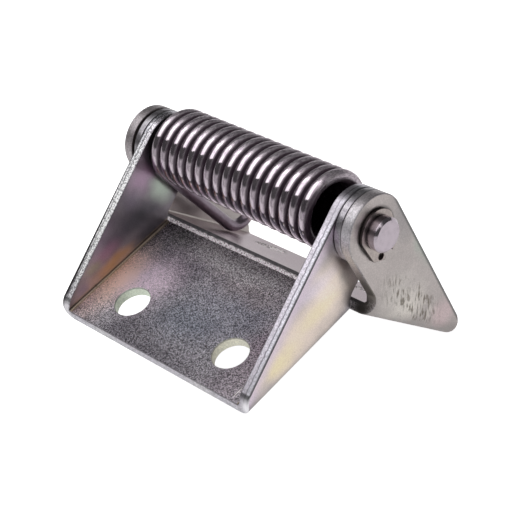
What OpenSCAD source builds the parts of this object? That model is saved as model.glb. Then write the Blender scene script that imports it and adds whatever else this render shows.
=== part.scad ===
// Sprung gate hinge: two folded sheet brackets on one pin, with a torsion spring between their ears.
// +X runs along the pin, +Y runs from the fixed plate toward the swinging leaf, +Z is up.
// The origin is midway between the fixed plate's bolt holes, on the underside that is bolted down.

/* [Sheet] */
// Thickness of the folded sheet
sheet_t = 4; // [3:0.5:4.5]
// Inside radius of each fold
fold_r = 1; // [0.5:0.5:3]
// Radius of the rounded end of every ear, around the pin
boss_r = 12.5; // [11:0.5:14]
// Height of an ear over its plate's underside, at the plate's two edges
ear_foot_h = 6.3; // [5.5:0.1:8]
// Rounding of an ear's corner at the plate's free edge
toe_r = 6; // [3:0.5:6]
// Least height of the straight edge left below that rounding
toe_straight = 2; // [1:0.5:3]

/* [Fixed bracket] */
// Width over the fixed bracket's ears
fixed_w = 95; // [80:1:120]
// Length of the fixed plate, free edge to pin edge
fixed_len = 51; // [44:1:64]
// Height of the pin axis over the fixed plate's underside
pin_h = 28.5; // [27:0.5:33]
// Distance of the pin axis behind the fixed plate's edge
pin_back = 14; // [12:0.5:16]

/* [Swing bracket] */
// Length of the swinging leaf, pin edge to free edge
leaf_len = 50.8; // [44:0.1:64]
// How much nearer to the pin the leaf's underside is than the fixed plate's
leaf_raise = 0.5; // [0:0.1:0.8]
// Height over the fixed plate's underside at which the leaf's edge meets that plate and stops
stop_h = 0.65; // [0.6:0.05:2]
// Gap left at that stop
stop_gap = 0.55; // [0.1:0.05:0.8]
// Free sliding of the swing bracket along the pin
side_slack = 1.2; // [0.2:0.1:2]

/* [Bolt holes] */
// Diameter of the bolt holes
hole_d = 13; // [9:0.5:14]
// Spacing of the two holes in a plate
hole_pitch = 50; // [40:1:60]
// Distance of the holes from a plate's free edge
hole_edge = 15; // [11:0.5:20]

/* [Pin and rings] */
// Diameter of the pin
pin_d = 12; // [10:0.5:12.5]
// Clearance round the pin in every bore
pin_play = 0.08; // [0.03:0.01:0.1]
// Length of pin that stands out past each ear
pin_end = 5.2; // [4:0.1:8]
// Chamfer on the ends of the pin
pin_chamfer = 0.5; // [0.2:0.1:1]
// Diameter of the turning centre in each end of the pin
centre_d = 1.6; // [1:0.1:2.5]
// Depth of a ring groove
groove_depth = 0.25; // [0.2:0.05:0.5]
// Width of a ring groove
groove_w = 1.1; // [1.1:0.05:1.4]
// Thickness of a retaining ring
ring_t = 1; // [0.8:0.05:1]
// Clearance between a ring and the ear that it holds
ring_play = 0.1; // [0.05:0.05:0.3]
// Clearance between a ring's bore and the bottom of its groove
ring_seat = 0.05; // [0.02:0.01:0.1]
// Radial width of a ring at its middle
ring_back_w = 2.5; // [2:0.1:3]
// Radial width of a ring beside its lugs
ring_lug_w = 1.9; // [1.5:0.1:2]
// Half the angle from lug to lug
lug_angle = 22; // [18:1:30]
// Distance from a lug's hole to the ring's bore
lug_reach = 3.5; // [3:0.1:4.5]
// Radius of a lug's rounded end
lug_r = 1.9; // [1.5:0.1:2.2]
// Diameter of a lug's hole
lug_hole_d = 1.7; // [1.2:0.1:2]
// Half the angle of the opening between the lugs
ring_gap_angle = 9; // [6:1:12]
// Direction of a ring's opening, from +Y toward +Z
ring_turn = -83; // [-180:1:180]

/* [Washers] */
// Diameter of a washer
washer_d = 25; // [20:0.5:26]
// Thickness of a washer
washer_t = 2.5; // [1.5:0.1:4]
// Play on each face of a washer
washer_play = 0.2; // [0.1:0.05:0.4]

/* [Torsion spring] */
// Diameter of the spring wire
wire_d = 4.5; // [3.5:0.1:4.6]
// Outside diameter of the coil
coil_d = 27.8; // [27.6:0.1:29]
// Gap from turn to turn
turn_gap = 0.12; // [0.05:0.01:0.4]
// Distance by which the legs lift the coil off centre on the pin
coil_lift = 1.7; // [0:0.1:1.7]
// Gap between the coil and the left ear
coil_gap_left = 1.4; // [0.8:0.1:3]
// Least gap between the coil and the right ear
coil_gap_right = 0.6; // [0.4:0.1:3]
// Distance from the pin at which the left leg rests on the leaf
leaf_leg = 39.7; // [34:0.1:42]
// Distance from the pin at which the right leg rests on the fixed plate
plate_leg = 28; // [24:0.1:38]
// Radius of the upturned tip of a leg, on the wire's centre line
tip_r = 7.2; // [5:0.1:9]
// Slope at which a leg's cut tip ends
tip_slope = 70; // [45:1:80]
// Gap between a leg's tip and the plate that it pushes on
tip_gap = 0.3; // [0.1:0.05:0.5]

/* [Hidden] */
$fn = 72;

// How far a cutting body runs past what it cuts
over = 1;
pin_at = [0, fixed_len + pin_back - hole_edge, pin_h];
bore_d = pin_d + 2 * pin_play;

// The swing bracket mirrors the fixed one, and is wider by the washers and their play
leaf_h = pin_h - leaf_raise;
swing_inner_w = fixed_w + 2 * (washer_t + 2 * washer_play) + side_slack;
swing_w = swing_inner_w + 2 * sheet_t;
swing_x = -side_slack / 2;

// The leaf's lower edge swings on one radius about the pin until it meets the fixed plate's edge
stop_drop = pin_h - stop_h;
leaf_back = sqrt(pow(pin_back, 2) + pow(stop_drop, 2) - pow(leaf_h, 2));
rest_tilt = 180 - atan2(leaf_h, leaf_back) - atan2(stop_drop, pin_back) - asin(stop_gap / stop_drop);

ring_x = swing_w / 2 + ring_play;
pin_len = swing_w + 2 * pin_end;

// The coil takes as many whole turns as fit between the fixed ears
wire_r = wire_d / 2;
coil_r = coil_d / 2 - wire_r;
turn_pitch = wire_d + turn_gap;
coil_room = fixed_w - 2 * sheet_t - coil_gap_left - coil_gap_right - wire_d;
coil_start_x = -fixed_w / 2 + sheet_t + coil_gap_left + wire_r;
swing_tip = tip_centre(leaf_leg, leaf_h);
fixed_tip = tip_centre(plate_leg, pin_h);
coil_from = leg_tangent(swing_tip) - rest_tilt;
part_turn = coil_from + leg_tangent(fixed_tip) + 180;
turns = floor(coil_room / turn_pitch - part_turn / 360) + part_turn / 360;
coil_end_x = coil_start_x + turns * turn_pitch;
wire_sides = 10;
steps_per_turn = 24;
tip_steps = 8;

// A plate's own frame has the pin at its origin, the distance along the plate first and the height second.
// Where a leg's upturned tip is centred in that frame
function tip_centre(reach, height) = [reach, sheet_t + tip_gap + wire_r + tip_r - height];

// Direction from the coil's centre to the point where a leg leaves it, in its plate's own frame
function leg_tangent(tip) =
    let (run = tip - [0, coil_lift])
    atan2(run[1], run[0]) - acos((coil_r - tip_r) / norm(run));

// A leg's centre line from the cut end of its tip to its straight stretch, in its plate's own frame
function leg_path(tip) =
    let (slope = leg_tangent(tip) + 90)
    [for (i = [0:tip_steps])
        let (a = tip_slope + (slope - tip_slope) * i / tip_steps)
        tip + tip_r * [sin(a), -cos(a)]];

// From a plate's own frame about the pin to the part's frame
function from_fixed(p, x) = pin_at + [x, -p[0], p[1]];
function from_swing(p, x) = pin_at
    + [x, p[0] * cos(rest_tilt) + p[1] * sin(rest_tilt), p[1] * cos(rest_tilt) - p[0] * sin(rest_tilt)];

// The coil's centre drifts from the lift away from the leaf to the lift away from the fixed plate
function coil_centre(s) = (1 - s) * from_swing([0, coil_lift], coil_start_x)
    + s * from_fixed([0, coil_lift], coil_end_x);
coil_steps = round(turns * steps_per_turn);
function coil_path() = [for (i = [0:coil_steps])
    let (s = i / coil_steps, a = coil_from - 360 * turns * s)
    coil_centre(s) + coil_r * [0, cos(a), sin(a)]];
function reversed(list) = [for (i = [len(list) - 1:-1:0]) list[i]];
function spring_path() = concat(
    [for (p = leg_path(swing_tip)) from_swing(p, coil_start_x)],
    coil_path(),
    [for (p = reversed(leg_path(fixed_tip))) from_fixed(p, coil_end_x)]);

// A round wire swept along a path that never runs along X
function unit(v) = v / norm(v);
function wire_ring(path, i) =
    let (
        last = len(path) - 1,
        along = unit(path[min(i + 1, last)] - path[max(i - 1, 0)]),
        side = unit([1, 0, 0] - along[0] * along),
        out = cross(along, side)
    )
    [for (k = [0:wire_sides - 1])
        let (a = 360 * k / wire_sides)
        path[i] + wire_r * (cos(a) * side + sin(a) * out)];

module swept_wire(path) {
    rings = len(path);
    function at(i, k) = i * wire_sides + k % wire_sides;
    polyhedron(
        points = [for (i = [0:rings - 1]) each wire_ring(path, i)],
        faces = concat(
            [for (i = [0:rings - 2], k = [0:wire_sides - 1])
                [at(i, k), at(i + 1, k), at(i + 1, k + 1), at(i, k + 1)]],
            [[for (k = [0:wire_sides - 1]) at(0, k)]],
            [[for (k = [wire_sides - 1:-1:0]) at(rings - 1, k)]]
        ),
        convexity = 20
    );
}

// A cylinder along X, centred on x
module x_rod(x, length, d) {
    translate([x, 0, 0]) rotate([0, 90, 0]) cylinder(d = d, h = length, center = true);
}

// Section of a folded channel, open at the top, with both folds rounded
module fold_section(w, h, r) {
    translate([-w / 2 + r, 0]) square([w - 2 * r, h]);
    translate([-w / 2, r]) square([w, h - r]);
    for (side = [-1, 1]) translate([side * (w / 2 - r), r]) circle(r);
}

// Outline of an ear seen along the pin, which is at the origin: the plate's strip, the leaning arm and the boss
module ear_outline(near, far, height) {
    foot = ear_foot_h - height;
    upper = atan2(-foot, far) + asin(boss_r / norm([far, foot]));
    lower = atan2(-foot, near) - asin(boss_r / norm([near, foot]));
    // The toe's rounding touches the plate's free edge and the arm's upper edge
    round_r = min(toe_r, (ear_foot_h - toe_straight) * tan(45 + upper / 2));
    setback = round_r / tan(45 + upper / 2);
    polygon([
        [near, -height], [far, -height], [far, foot - setback],
        [far - setback * cos(upper), foot + setback * sin(upper)],
        boss_r * [sin(upper), cos(upper)], -boss_r * [sin(lower), cos(lower)],
        [near, foot]
    ]);
    circle(boss_r);
    translate([far - round_r, foot - setback]) circle(round_r);
}

// One folded bracket about the pin at the origin, its plate toward +Y
module folded_bracket(inner_w, near, length, height) {
    outer_w = inner_w + 2 * sheet_t;
    far = near + length;
    top = height + boss_r + over;
    difference() {
        intersection() {
            translate([0, far + over, -height]) rotate([90, 0, 0])
                linear_extrude(far + boss_r + 2 * over) difference() {
                    fold_section(outer_w, top, fold_r + sheet_t);
                    translate([0, sheet_t]) fold_section(inner_w, top, fold_r);
                }
            translate([-outer_w / 2 - over, 0, 0]) rotate([90, 0, 90])
                linear_extrude(outer_w + 2 * over) ear_outline(near, far, height);
        }
        x_rod(0, outer_w + 2 * over, bore_d);
        for (side = [-1, 1]) translate([side * hole_pitch / 2, far - hole_edge, -height - over])
            cylinder(d = hole_d, h = sheet_t + 2 * over);
    }
}

module fixed_bracket() {
    color("#8d8789") translate(pin_at) mirror([0, 1, 0])
        folded_bracket(fixed_w - 2 * sheet_t, pin_back, fixed_len, pin_h);
}

module swing_bracket() {
    color("#a09b9b") translate(pin_at + [swing_x, 0, 0]) rotate([-rest_tilt, 0, 0])
        folded_bracket(swing_inner_w, leaf_back, leaf_len, leaf_h);
}

// Half outline of the pin from its middle to one end, as radius against distance
function pin_half() = [
    [pin_d / 2, 0],
    [pin_d / 2, ring_x - (groove_w - ring_t) / 2],
    [pin_d / 2 - groove_depth, ring_x - (groove_w - ring_t) / 2],
    [pin_d / 2 - groove_depth, ring_x + (groove_w + ring_t) / 2],
    [pin_d / 2, ring_x + (groove_w + ring_t) / 2],
    [pin_d / 2, pin_len / 2 - pin_chamfer],
    [pin_d / 2 - pin_chamfer, pin_len / 2],
    [centre_d / 2, pin_len / 2],
    [0, pin_len / 2 - centre_d / 2]
];

module hinge_pin() {
    color("#c9c3c6") translate(pin_at + [swing_x, 0, 0]) rotate([0, 90, 0]) rotate_extrude()
        polygon(concat(pin_half(), [for (p = reversed(pin_half())) [p[0], -p[1]]]));
}

module torsion_spring() {
    color("#5d5660") swept_wire(spring_path());
}

module washer(side) {
    color("#aaa5a6") translate(pin_at) difference() {
        x_rod(side * (fixed_w / 2 + washer_play + washer_t / 2), washer_t, washer_d);
        x_rod(0, fixed_w + 2 * washer_d, bore_d);
    }
}

module left_washer() {
    washer(-1);
}

module right_washer() {
    washer(1);
}

// A retaining ring, widest at its middle, with two drilled lugs beside its opening toward +X of its own plane
module ring_outline() {
    bore_r = pin_d / 2 - groove_depth + ring_seat;
    outer_r = bore_r + (ring_back_w + ring_lug_w) / 2;
    lug_at = bore_r + lug_reach;
    difference() {
        union() {
            translate([(ring_lug_w - ring_back_w) / 2, 0]) circle(outer_r);
            for (side = [-1, 1]) rotate(side * lug_angle) {
                translate([lug_at, 0]) circle(lug_r);
                translate([0, -lug_r]) square([lug_at, 2 * lug_r]);
            }
        }
        circle(bore_r);
        polygon([[0, 0], 2 * lug_at * [cos(ring_gap_angle), sin(ring_gap_angle)],
                 2 * lug_at * [cos(ring_gap_angle), -sin(ring_gap_angle)]]);
        for (side = [-1, 1]) rotate(side * lug_angle) translate([lug_at, 0]) circle(d = lug_hole_d);
    }
}

module ring(side) {
    color("#8f888b") translate(pin_at + [swing_x + side * (ring_x + ring_t / 2), 0, 0])
        rotate([90, 0, 90]) linear_extrude(ring_t, center = true) rotate(ring_turn) ring_outline();
}

module left_ring() {
    ring(-1);
}

module right_ring() {
    ring(1);
}

fixed_bracket();
swing_bracket();
hinge_pin();
torsion_spring();
left_washer();
right_washer();
left_ring();
right_ring();
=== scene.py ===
"""Looks of a sprung gate hinge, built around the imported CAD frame.

Sizes in the classes are millimetres in the part's own frame, and every mesh is written in metres.
The brackets are made as sheet metal is: a flat blank with its holes gets its thickness, its edges are broken,
and it is folded.
"""

import logging
import math
from dataclasses import dataclass
from enum import Enum
from typing import Any, Sequence

import bmesh
import bpy
from mathutils import Matrix, Vector

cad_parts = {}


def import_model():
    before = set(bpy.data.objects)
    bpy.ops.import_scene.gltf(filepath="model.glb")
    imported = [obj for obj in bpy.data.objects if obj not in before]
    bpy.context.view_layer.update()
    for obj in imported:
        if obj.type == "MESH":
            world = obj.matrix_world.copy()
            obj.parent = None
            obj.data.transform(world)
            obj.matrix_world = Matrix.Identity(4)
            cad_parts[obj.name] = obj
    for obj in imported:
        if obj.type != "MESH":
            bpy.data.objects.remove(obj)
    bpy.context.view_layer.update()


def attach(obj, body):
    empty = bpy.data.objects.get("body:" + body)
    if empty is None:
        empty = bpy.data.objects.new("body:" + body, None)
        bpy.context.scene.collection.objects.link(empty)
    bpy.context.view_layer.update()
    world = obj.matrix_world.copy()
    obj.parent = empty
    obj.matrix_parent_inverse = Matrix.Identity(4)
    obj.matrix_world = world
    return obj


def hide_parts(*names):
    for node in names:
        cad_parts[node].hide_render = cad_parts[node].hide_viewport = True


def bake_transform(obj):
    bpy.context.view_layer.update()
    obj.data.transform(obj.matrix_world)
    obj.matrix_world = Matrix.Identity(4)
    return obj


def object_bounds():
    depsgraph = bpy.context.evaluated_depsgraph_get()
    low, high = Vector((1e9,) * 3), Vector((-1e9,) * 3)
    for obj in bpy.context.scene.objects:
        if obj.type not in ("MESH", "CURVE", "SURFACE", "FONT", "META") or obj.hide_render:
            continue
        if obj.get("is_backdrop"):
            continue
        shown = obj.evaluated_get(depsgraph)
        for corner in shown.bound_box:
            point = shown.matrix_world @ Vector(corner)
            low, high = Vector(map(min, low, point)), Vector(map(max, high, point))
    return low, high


LOG = logging.getLogger("gate_hinge")
MM = 0.001
TINY = 1e-5
SHARP = math.radians(35.0)
Colour = tuple[float, float, float]
Point = tuple[float, float, float]


class Body(Enum):
    """The CAD bodies that pieces ride on."""

    FIXED = "fixed_side"
    SWING = "swing_side"


class Slot(Enum):
    """The record's material slots."""

    SHEET = "plated_sheet"
    LEAF = "plated_leaf"
    PIN = "pin_steel"
    WIRE = "spring_wire"
    WASHER = "plated_washer"
    RING = "ring_steel"


class Value:
    """A number or a colour in a node tree, whose operators add nodes."""

    def __init__(self, tree: bpy.types.NodeTree, socket: bpy.types.NodeSocket) -> None:
        """Wraps an output socket of the tree."""
        self.tree = tree
        self.socket = socket

    @property
    def is_number(self) -> bool:
        """True for a number, False for a vector or a colour."""
        return self.socket.type == "VALUE"

    def put(self, target: bpy.types.NodeSocket, source: Any) -> None:
        """Links or sets one input socket.

        Args:
            target: The input socket.
            source: A Value, a number or a tuple.
        """
        if isinstance(source, Value):
            self.tree.links.new(source.socket, target)
        elif target.type == "RGBA" and not isinstance(source, (int, float)):
            target.default_value = (*source[:3], 1.0)
        elif target.type in ("VECTOR", "RGBA") and isinstance(source, (int, float)):
            target.default_value = (source,) * len(target.default_value)
        else:
            target.default_value = source

    def _op(self, kind: str, operation: str, *operands: Any) -> "Value":
        """Adds a Math or Vector Math node.

        Args:
            kind: "Math" or "VectorMath".
            operation: The node's operation.
            operands: Its inputs in order.

        Returns:
            The node's result.
        """
        node = self.tree.nodes.new("ShaderNode" + kind)
        node.operation = operation
        for target, source in zip(node.inputs, operands):
            self.put(target, source)
        number = kind == "Math" or operation in ("LENGTH", "DOT_PRODUCT")
        return Value(self.tree, node.outputs["Value" if number else "Vector"])

    def _either(self, operation: str, one: Any, two: Any) -> "Value":
        """Picks Math for numbers and Vector Math as soon as one side is a vector or a colour."""
        vectors = any(isinstance(x, tuple) or (isinstance(x, Value) and not x.is_number) for x in (one, two))
        return self._op("VectorMath" if vectors else "Math", operation, one, two)

    def __add__(self, other: Any) -> "Value":
        """Sum."""
        return self._either("ADD", self, other)

    __radd__ = __add__

    def __sub__(self, other: Any) -> "Value":
        """Difference."""
        return self._either("SUBTRACT", self, other)

    def __rsub__(self, other: Any) -> "Value":
        """Difference with this value on the right."""
        return self._either("SUBTRACT", other, self)

    def __mul__(self, other: Any) -> "Value":
        """Product."""
        return self._either("MULTIPLY", self, other)

    __rmul__ = __mul__

    def __truediv__(self, other: Any) -> "Value":
        """Quotient."""
        return self._either("DIVIDE", self, other)

    def __abs__(self) -> "Value":
        """Absolute value."""
        return self._op("Math", "ABSOLUTE", self)

    def at_most(self, other: Any) -> "Value":
        """The smaller of two numbers."""
        return self._op("Math", "MINIMUM", self, other)

    def at_least(self, other: Any) -> "Value":
        """The larger of two numbers."""
        return self._op("Math", "MAXIMUM", self, other)

    def length(self) -> "Value":
        """Length of a vector."""
        return self._op("VectorMath", "LENGTH", self)

    def dot(self, other: Point) -> "Value":
        """Dot product with a fixed direction."""
        return self._op("VectorMath", "DOT_PRODUCT", self, other)

    def part(self, axis: str) -> "Value":
        """One component of a vector.

        Args:
            axis: "X", "Y" or "Z".

        Returns:
            That component as a number.
        """
        node = self.tree.nodes.new("ShaderNodeSeparateXYZ")
        self.put(node.inputs[0], self)
        return Value(self.tree, node.outputs[axis])

    def step(self, start: float, end: float) -> "Value":
        """A smooth step, upward or downward.

        Args:
            start: Where the result is 0.
            end: Where it is 1; below start, the step goes down as this number goes up.

        Returns:
            The stepped number.
        """
        node = self.tree.nodes.new("ShaderNodeMapRange")
        node.interpolation_type = "SMOOTHSTEP"
        span = (start, end, 0.0, 1.0) if start < end else (end, start, 1.0, 0.0)
        for target, source in zip(node.inputs, (self, *span)):
            self.put(target, source)
        return Value(self.tree, node.outputs[0])

    def band(self, centre: float, half: float, soft: float) -> "Value":
        """A mask that is 1 within half of centre and falls to 0 over soft."""
        return abs(self - centre).step(half + soft, half)

    def mix(self, other: Any, share: Any) -> "Value":
        """Mixes this colour with another.

        Args:
            other: The other colour.
            share: How much of it, from 0 to 1.

        Returns:
            The mixed colour.
        """
        node = self.tree.nodes.new("ShaderNodeMix")
        node.data_type = "RGBA"
        self.put(node.inputs[0], share)
        self.put(node.inputs[6], self)
        self.put(node.inputs[7], other)
        return Value(self.tree, node.outputs[2])


class Nodes:
    """A material's or a world's node tree, with one method for every node that the operators don't cover."""

    def __init__(self, tree: bpy.types.NodeTree) -> None:
        """Starts with an empty tree."""
        self.tree = tree
        tree.nodes.clear()

    def add(
        self, kind: str, settings: dict[str, Any] | None = None, inputs: dict[Any, Any] | None = None,
        output: Any = 0,
    ) -> Value:
        """Adds a node.

        Args:
            kind: The node's type without "ShaderNode".
            settings: The node's properties; "stops" gives a ramp's (position, colour) pairs.
            inputs: Values or links by socket name or number.
            output: Name or number of the socket that is handed back.

        Returns:
            The chosen output as a Value.
        """
        node = self.tree.nodes.new("ShaderNode" + kind)
        for name, setting in (settings or {}).items():
            if name == "stops":
                elements = node.color_ramp.elements
                while len(elements) < len(setting):
                    elements.new(1.0)
                for element, (position, colour) in zip(elements, setting):
                    element.position = position
                    element.color = (*colour, 1.0)
            else:
                setattr(node, name, setting)
        result = Value(self.tree, node.outputs[output] if len(node.outputs) else None)
        for name, source in (inputs or {}).items():
            result.put(node.inputs[name], source)
        return result

    def noise(self, where: Value, scale: float, detail: float, roughness: float) -> Value:
        """Noise about 0.5 at a number of cells per unit of where."""
        pattern = {"Vector": where, "Scale": scale, "Detail": detail, "Roughness": roughness}
        return self.add("TexNoise", None, pattern)

    def ramp(self, share: Value, *stops: tuple[float, Colour]) -> Value:
        """A colour that runs through stops, each a position and a colour, as share goes from 0 to 1."""
        return self.add("ValToRGB", {"stops": stops}, {"Fac": share})

    def flat_point(self, x: Value, y: Value) -> Value:
        """A point of a flat pattern."""
        return self.add("CombineXYZ", None, {"X": x, "Y": y})

    def attribute(self, name: str, output: str = "Fac") -> Value:
        """Reads a piece's own attribute."""
        return self.add("Attribute", {"attribute_name": name}, None, output)


class Shader(Nodes):
    """A material with one Principled BSDF."""

    def __init__(self, name: str) -> None:
        """Makes an empty material.

        Args:
            name: The material's name.
        """
        self.material = bpy.data.materials.new(name)
        self.material.use_nodes = True
        super().__init__(self.material.node_tree)

    def place(self) -> Value:
        """Object coordinates in millimetres."""
        return self.add("TexCoord", None, None, "Object") * (1000.0, 1000.0, 1000.0)

    def metal(
        self, colour: Value, roughness: Value, height: Value, relief: float, metallic: Any = 1.0,
    ) -> bpy.types.Material:
        """Closes the material as a metal.

        Args:
            colour: Base colour.
            roughness: Roughness.
            height: Height for the bump, from 0 to 1.
            relief: Height in millimetres that 1 stands for.
            metallic: Metallic share, a number or a Value.

        Returns:
            The material.
        """
        bump = self.add("Bump", None, {"Height": height, "Distance": relief * MM, "Strength": 1.0})
        inputs = {"Base Color": colour, "Roughness": roughness, "Metallic": metallic, "Normal": bump}
        self.add("OutputMaterial", None, {"Surface": self.add("BsdfPrincipled", None, inputs)})
        return self.material


@dataclass(frozen=True)
class Patch:
    """A soft-edged patch of colour in an ellipsoid at a place on the part: mostly a tint of the passivated
    zinc; the tables note the few that are painted light, highlights and shade instead.

    Attributes:
        centre: Its middle in millimetres.
        radii: Its half widths.
        tint: Its colour.
        amount: The tint's share in the middle.
        milk: The share of milky, not metallic, film in the middle.
    """

    centre: Point
    radii: Point
    tint: Colour
    amount: float
    milk: float = 0.0

    def over(self, where: Value, colour: Value, milk: Any) -> tuple[Value, Any]:
        """Lays the patch over a colour.

        Args:
            where: The place in millimetres.
            colour: The colour so far.
            milk: The share of milky, not metallic, film so far.

        Returns:
            The tinted colour, and the new share of milky film.
        """
        mask = ((where - self.centre) / self.radii).length().step(1.0, 0.1)
        return colour.mix(self.tint, mask * self.amount), mask * self.milk + milk if self.milk else milk


@dataclass(frozen=True)
class PlatedFace:
    """The rolled face of zinc-plated sheet: fine grain, cloudy tints, and painted highlights and shade along
    each fold.

    The mesh's attribute fold is the distance past the fold's middle in the flat blank, in millimetres: below
    0 on the plate, above 0 on an ear. Its attribute depth goes from 0 outside the fold to 1 inside it.

    Attributes:
        base: Its colour where it is light.
        dark: Its colour where it is dark.
        patches: Tints under the grain, with a few patches of painted light and shade among them, in the order
            in which they are laid.
        border: Factors of Z and Y, and an offset: their sum is the distance from an ear's edge.
        marks: Small marks over everything else.
        inner_tint: Tint of the plate's inner face.
        border_tint: Tint along the ears' edge, strongest on the right ear.
        plate_grain: Strength of the grain inside the plate.
        ear_grain: Strength of the grain elsewhere.
        scuffs: Where the right ear is rubbed dark: its half length, its half width and an unused radius.
        rubbed: Colour of the bright rubs between the dark ones.
        halo: Middle, inner and outer radius of the dark ring of dirt and painted shade round the retaining
            ring.
        crease: Strength of the painted highlights and shade along each fold.
        crease_shade: Colour of the wide band of painted shade in the fold, tinted brown.
        crease_highlight: Colour of the two painted highlights at the fold's edges.
        crease_shade_line: Colour of the fine dark line of painted shade.
    """

    name: str
    base: Colour
    dark: Colour
    patches: tuple[Patch, ...]
    border: Point
    marks: tuple[Patch, ...] = ()
    inner_tint: Colour = (0.5, 0.48, 0.52)
    inner_amount: float = 0.0
    border_tint: Colour = (0.82, 0.7, 0.82)
    border_width: float = 5.5
    border_amount: float = 0.75
    plate_grain: float = 1.0
    ear_grain: float = 0.1
    roughness: float = 0.33
    scuffs: Patch | None = None
    rubbed: Colour = (0.7, 0.65, 0.61)
    halo: tuple[Point, float, float] | None = None
    grime_and_shade: Colour = (0.1, 0.09, 0.09)
    pit: Colour = (0.07, 0.06, 0.06)
    crease: float = 0.45
    crease_shade: Colour = (0.17, 0.13, 0.08)
    crease_highlight: Colour = (0.7, 0.55, 0.34)
    crease_shade_line: Colour = (0.04, 0.03, 0.02)

    def make(self) -> bpy.types.Material:
        """Builds the finish.

        Returns:
            The material.
        """
        shader = Shader(self.name)
        where = shader.place()
        fold = shader.attribute("fold")
        inside = shader.attribute("depth").step(0.45, 0.55)
        cloud = shader.noise(where, 0.07, 3.0, 0.55)
        warp = shader.add("TexNoise", None, {"Vector": where, "Scale": 0.11, "Detail": 2.0}, "Color")
        warped = where + (warp - (0.5, 0.5, 0.5)) * (8.0, 8.0, 3.0)
        strength = fold.step(1.0, -3.0) * inside * (self.plate_grain - self.ear_grain) + self.ear_grain
        grit = shader.noise(where, 3.1, 1.0, 0.5)
        colour = shader.ramp(cloud.step(0.3, 0.7), (0.0, self.dark), (1.0, self.base))
        if self.inner_amount:
            colour = colour.mix(self.inner_tint, inside * fold.step(0.0, -3.0) * self.inner_amount)
        milk: Any = 0.0
        for patch in self.patches:
            colour, milk = patch.over(warped, colour, milk)
        rise, across, offset = self.border
        near = (where.part("Z") * rise + where.part("Y") * across + offset).step(self.border_width, 0.5)
        share = (where.part("X").step(0.0, 1.0) * 0.75 + 0.25) * self.border_amount
        colour = colour.mix(self.border_tint, near * fold.step(0.0, 3.0) * share)
        quiet = 1.0 - milk * 1.5
        colour = colour * ((grit.step(0.38, 0.7) - 0.38) * strength * quiet * 1.9 + 1.0)
        if self.scuffs:
            colour = self.scuff(shader, where, colour, self.scuffs)
        # Painted shade with dirt: a dark ring on the ear's face round the retaining ring.
        if self.halo:
            centre, low, high = self.halo
            radius = ((where - centre) * (0.0, 1.0, 1.0)).length()
            colour = colour.mix(self.grime_and_shade, radius.step(low, low + 0.4) * radius.step(high, low + 0.5) * 0.8)
        pits = shader.noise(where + (40.0, 7.0, 3.0), 0.9, 1.0, 0.4).step(0.29, 0.25) * strength
        colour = colour.mix(self.pit, pits * 0.8)
        for mark in self.marks:
            colour, _ = mark.over(where, colour, 0.0)
        # Painted highlights on the fold's two edges, and painted shade, tinted brown, in its middle with a
        # fine dark line.
        bright = (fold.band(2.5, 0.12, 0.25) + fold.band(-2.3, 0.1, 0.25)) * inside
        shade = fold.band(-0.1, 1.7, 0.6) * inside
        line = fold.band(0.9, 0.12, 0.3) * inside
        colour = colour.mix(self.crease_shade, shade * self.crease * 1.7)
        colour = colour.mix(self.crease_highlight, bright * self.crease * 0.75)
        colour = colour.mix(self.crease_shade_line, line * self.crease * 1.7)
        rough = grit * -0.12 + cloud * 0.1 + self.roughness
        return shader.metal(colour, rough, grit * strength + bright * 0.3, 0.03, 1.0 - milk)

    def scuff(self, shader: Shader, where: Value, colour: Value, zone: Patch) -> Value:
        """Lays short dark rubs and paler ones between them over a colour, all in one direction.

        Args:
            shader: The material being built.
            where: The place in millimetres.
            colour: The colour so far.
            zone: Where the rubs are, and their colour.

        Returns:
            The scuffed colour.
        """
        stroke = shader.flat_point(where.dot((0.0, 0.94, -0.34)), where.dot((0.0, 0.34, 0.94)) * 0.2)
        rubs = shader.noise(stroke, 1.0, 2.0, 0.65)
        broken = shader.noise(where, 0.25, 2.0, 0.6).step(0.36, 0.52)
        from_middle = where - zone.centre
        along, across, _ = zone.radii
        reach = shader.flat_point(
            from_middle.dot((0.0, 0.458, -0.889)) / along, from_middle.dot((0.0, 0.889, 0.458)) / across,
        ).length()
        outside = where.part("X").step(zone.centre[0] - 1.0, zone.centre[0] - 0.2)
        mask = reach.step(1.0, 0.5) * broken * outside * zone.amount
        colour = colour.mix(self.rubbed, rubs.step(0.48, 0.4) * mask * 0.7)
        return colour.mix(zone.tint, rubs.step(0.5, 0.6) * mask)


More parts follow.
